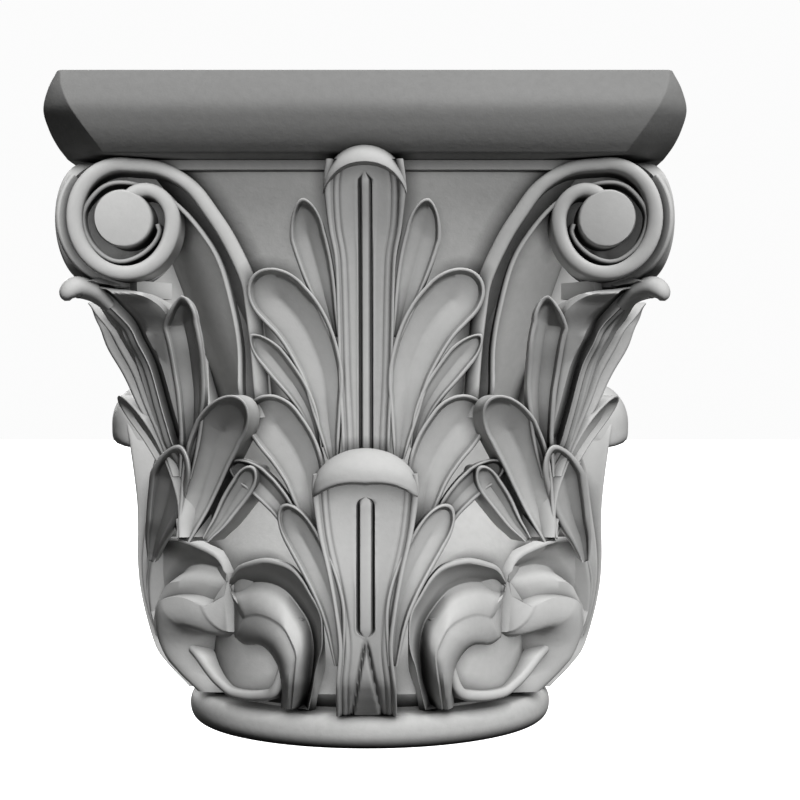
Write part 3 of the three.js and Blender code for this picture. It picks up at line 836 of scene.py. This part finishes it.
def corner_blade():
    """The midrib and one wing up to the front, mirrored across the diagonal into one section, which stands
    at right angles to the path of the midrib: a flat rib between two fine beads, a deep groove on each
    side, then the wing, whose edge is rounded back."""
    rows = smooth_path(CORNER_PATH, BLADE_ROWS)
    way = directions(rows)
    z, ridge = rows[:, :1], rows[:, 1:]
    steep, level = way[:, :1], way[:, 1:]
    wing = np.maximum(WING_WIDTH(z), RIB + 1.5)
    groove = np.minimum(RIB_GROOVE, wing - RIB - 1)
    share = np.linspace(0, 1, 10)
    across = np.concatenate([RIB * share * np.ones_like(z), RIB + groove * share[1:],
                             RIB + groove + (wing - RIB - groove) * share[1:]], 1)
    bead = bump(across - RIB + 0.9, 1.5, 0.9)
    valley = np.clip((across - RIB) / groove, 0, 1)
    fall = 1.15 * groove * np.minimum(1, 3.2 * valley) * np.minimum(1, 1.6 * (1 - valley))
    edge = np.clip((across - wing + 6) / 6, 0, 1)
    fall = fall + 5 * (1 - np.sqrt(1 - edge ** 2)) + 1.5 * np.clip((RIB - across) / RIB, 0, 1)
    forward = WING_LEAN(z) * across + bead - fall
    x = -(ridge - steep * across) * np.ones_like(forward)
    up = z + level * across - 0.5 * level * forward
    wing_out = np.where(across > RIB + groove, corner_front(x, up) - fall - 3, 0)
    y = -np.maximum(ridge + forward * steep, wing_out)
    inner = ridge - BLADE_DEEP
    back_x = np.concatenate([x[:, -1:] + 3, -(inner - wing * 0.6 * steep)], 1)
    back_y = np.concatenate([y[:, -1:] + 22, -inner], 1)
    back_up = np.concatenate([up[:, -1:], z + level * (wing * 0.3 + 15)], 1)
    x = np.concatenate([x, back_x], 1)
    y = np.concatenate([y, back_y], 1)
    half = np.stack([x, y, np.concatenate([up, back_up], 1)], -1)
    other = half[:, ::-1] @ DIAGONAL.T
    return shell(capped(np.concatenate([other[:, :-1], half], 1)))


# %% Tip of a corner leaf
NOSE_PATH = [[246, 437, 6], [256, 447, 8.5], [265, 452, 10], [272, 453, 10.5], [277, 449, 9.5], [279, 444, 7],
             [279, 440, 2.5]]
NOSE_DEPTH = 0.7
NOSE_WIDTH = 0.75


def corner_nose():
    """The tip of the leaf, curled over: a bent horn in the plane of the diagonal, as round sections along a
    path of [distance, height, radius]."""
    rows = smooth_path(NOSE_PATH, 30)
    way = directions(rows[:, :2])
    around = np.linspace(0, 2 * np.pi, 33)[:-1]
    radius = rows[:, 2:]
    distance = rows[:, :1] - way[:, 1:] * radius * np.cos(around) * NOSE_DEPTH
    up = rows[:, 1:2] + way[:, :1] * radius * np.cos(around)
    side = NOSE_WIDTH * radius * np.sin(around)
    return shell(capped(np.stack([-distance + side, -distance - side, up], -1)))


def corner_leaf():
    """All the shells of one corner leaf, at the front left corner."""
    lobes = [lobe(corner_front, lean=CORNER_LEAN, **shape) for shape in CORNER_LOBES]
    return mirrored(lobes, DIAGONAL) + [corner_blade(), corner_nose()]


for turns, corner_name in enumerate(CORNERS):
    piece("corner_leaf_" + corner_name, corner_leaf(), carved_stone, turns)
print("corner leaf triangles:", made["corner_leaf_front_left"])

# %% [markdown]
# ## Scrolls
#
# A scroll is a rounded ridge that rises from behind the tall leaf, sweeps out to the corner, turns once
# round a flat eye and runs into it. A thin ledge follows it, lower and deeper, across a dark channel. Both
# are sections carried along a spiral each, on a surface that leans back towards the middle of the face.

# %% Scrolls
EYE = np.array([-228.0, 518.0])
EYE_RADIUS = 26
SPIRAL_WIDTH = 43.2
SPIRAL_HEIGHT = 51.3
SCROLL_STEM = [[-101, 330], [-103.5, 357], [-106.5, 396], [-111, 435], [-116, 464], [-132, 500], [-148, 526],
               [-168, 552], [-195, 567]]
LEDGE = [[-119, 330], [-123, 357], [-124, 400], [-131, 440], [-142, 480], [-158, 508], [-180, 533],
         [-203, 547], [-229, 553], [-248, 547], [-263, 527], [-264, 510], [-257, 493], [-244, 481],
         [-230, 478], [-215, 484], [-203, 495], [-197, 507], [-199, 515]]
PATH_STEPS = 150
FLOOR_STEPS = 110
SCROLL_OUT = outline([[90, 208], [110, 219], [140, 234], [180, 252], [227, 273], [285, 296], [300, 302]])


def on_scroll(x, z, back):
    """A point of the scroll's surface, or a distance behind it. What would pass the diagonal of the corner
    stays on it, where the two scrolls meet."""
    out = np.maximum(SCROLL_OUT(np.abs(x)) - back, np.abs(x))
    return on_face(x, z, out)


def scroll_path():
    """The ridge's line: a rising stem, then once round an ellipse about the eye, and on into the eye as the
    ellipse shrinks."""
    angle = np.linspace(np.radians(84), np.radians(436), 60)
    past = np.maximum(0, np.degrees(angle) - 360)
    shrink = 1 - 0.3 * (past / 52) ** 1.9
    across = SPIRAL_WIDTH * shrink * np.cos(angle)
    spiral = EYE + np.stack([across, SPIRAL_HEIGHT * shrink * np.sin(angle)], -1)
    return smooth_path(np.concatenate([SCROLL_STEM, spiral]), PATH_STEPS)


def ridge(path, half, crown, front_back, wall):
    """A rounded ridge along a path: a flat arch across its width, and walls that go back."""
    along = directions(path)
    left = np.stack([-along[:, 1], along[:, 0]], -1)
    arch = np.linspace(0, np.pi, 15)
    across = np.concatenate([half * np.cos(arch), [-half, -half, half, half]])
    back = np.concatenate([crown * (1 - np.sin(arch)), [wall * 0.4, wall, wall, wall * 0.4]]) + front_back
    x = path[:, :1] + left[:, :1] * across
    z = path[:, 1:] + left[:, 1:] * across
    return shell(capped(on_scroll(x, z, back * np.ones_like(x))))


DISC_TURN = np.linspace(0, 2 * np.pi, 65)[:-1]
EYE_RINGS = [[0.9, -0.5], [0.94, -0.2], [0.98, 1.2], [1, 3], [1, 9], [1, 40]]


def disc(width, height, back):
    """An elliptical ring of points round the eye, a distance behind the scroll's surface."""
    x = EYE[0] + width * np.cos(DISC_TURN)
    z = EYE[1] + height * np.sin(DISC_TURN)
    return on_scroll(x, z, np.full(len(DISC_TURN), float(back)))


# %% Between two scrolls
MEETING = np.array([-236.0, -236.0, 518.0])
CORNER_BEAD_SIZE = (50, 62)
CORNER_BEAD_SECTION = dict(half=3.0, crown=2.4, wall=12)
BLOCK_SIDE = dict(width=44, height=52, back=44)
BLOCK_MIDDLE = (48, 60)
WEB_PLAN = [[-220, -240], [-240, -220], [-200, -192], [-192, -200]]
WEB_HEIGHTS = (446, 462)


def on_diagonal(angle, width, height):
    """Points of an ellipse in the plane of the diagonal, about the middle of the place where two scrolls
    meet; width is measured along x."""
    across = MEETING[0] + width * np.cos(angle)
    return np.stack([across, across, MEETING[2] + height * np.sin(angle)], -1)


def corner_bead():
    """A fine bead on the diagonal, between the two scrolls: part of an ellipse, as a round bar."""
    path = on_diagonal(np.linspace(np.radians(140), np.radians(345), 90), *CORNER_BEAD_SIZE)
    return bar(path, directions_between(MEETING, path), **CORNER_BEAD_SECTION)


def block():
    """The stone that joins two scrolls: an oval behind each of them, and a larger one where they meet."""
    front = disc(**BLOCK_SIDE)
    side = front @ DIAGONAL.T
    middle = on_diagonal(DISC_TURN, *BLOCK_MIDDLE)
    return shell(capped(np.array([front, 0.5 * (front + middle), middle, 0.5 * (side + middle), side])))


def web():
    """A small block of stone below the place where the two scrolls meet; its plan narrows to the bell."""
    rings = [[[x, y, z] for x, y in WEB_PLAN] for z in WEB_HEIGHTS]
    return shell(capped(np.array(rings)))


# %% Four corners
RIDGE_SECTION = dict(half=7, crown=5, front_back=0, wall=44)
LEDGE_SECTION = dict(half=2.3, crown=2, front_back=9, wall=36)
FLOOR_SECTION = dict(half=11, crown=1, front_back=42, wall=20)


def scroll():
    """All the shells of one corner: two scrolls, each with a ridge, a ledge, the floor of the channel
    between them and an eye, and what lies between the two."""
    path = scroll_path()
    ledge = smooth_path(LEDGE, PATH_STEPS)
    floor_line = smooth_path(0.5 * (path[:FLOOR_STEPS] + ledge[:FLOOR_STEPS]), FLOOR_STEPS)
    eye = np.array([disc(EYE_RADIUS * size, (EYE_RADIUS + 1.5) * size, back) for size, back in EYE_RINGS])
    shells = [ridge(path, **RIDGE_SECTION), ridge(ledge, **LEDGE_SECTION), ridge(floor_line, **FLOOR_SECTION),
              shell(capped(eye))]
    return mirrored(shells, DIAGONAL) + [block(), corner_bead(), web()]


for turns, corner_name in enumerate(CORNERS):
    piece("scroll_" + corner_name, scroll(), carved_stone, turns)
print("scroll triangles:", made["scroll_front_left"])

# %% [markdown]
# ## Floor and finish
#
# The capital stands on a plain pale floor, which is white to the camera by its own glow but sends little
# light back up to the stone. The last line prints how many triangles the carving has in all.

# %% Floor
FLOOR_TO_STONE = (0.04, 0.04, 0.04, 1)
FLOOR_TO_CAMERA = (0.97, 0.97, 0.965, 1)
FLOOR_HALF = 12.0
floor_mesh = bpy.data.meshes.new("floor")
floor_corners = [(x * FLOOR_HALF, y * FLOOR_HALF, 0) for x, y in ((-1, -1), (1, -1), (1, 1), (-1, 1))]
floor_mesh.from_pydata(floor_corners, [], [(0, 1, 2, 3)])
floor = bpy.data.objects.new("floor", floor_mesh)
scene.collection.objects.link(floor)
pale = bpy.data.materials.new("pale floor")
pale.use_nodes = True
pale_tree = pale.node_tree
pale_shader = pale_tree.nodes["Principled BSDF"]
pale_shader.inputs["Roughness"].default_value = 0.9
looked_at = pale_tree.nodes.new("ShaderNodeLightPath")
tone = pale_tree.nodes.new("ShaderNodeMix")
tone.data_type = "RGBA"
tone.inputs["A"].default_value = FLOOR_TO_STONE
tone.inputs["B"].default_value = FLOOR_TO_CAMERA
pale_tree.links.new(looked_at.outputs["Is Camera Ray"], tone.inputs["Factor"])
pale_tree.links.new(tone.outputs["Result"], pale_shader.inputs["Base Color"])
pale_shader.inputs["Emission Color"].default_value = (1, 1, 1, 1)
pale_tree.links.new(looked_at.outputs["Is Camera Ray"], pale_shader.inputs["Emission Strength"])
floor_mesh.materials.append(pale)
print("floor half-width:", FLOOR_HALF, "m")

# %% Finish
print("triangles in all:", sum(made.values()))
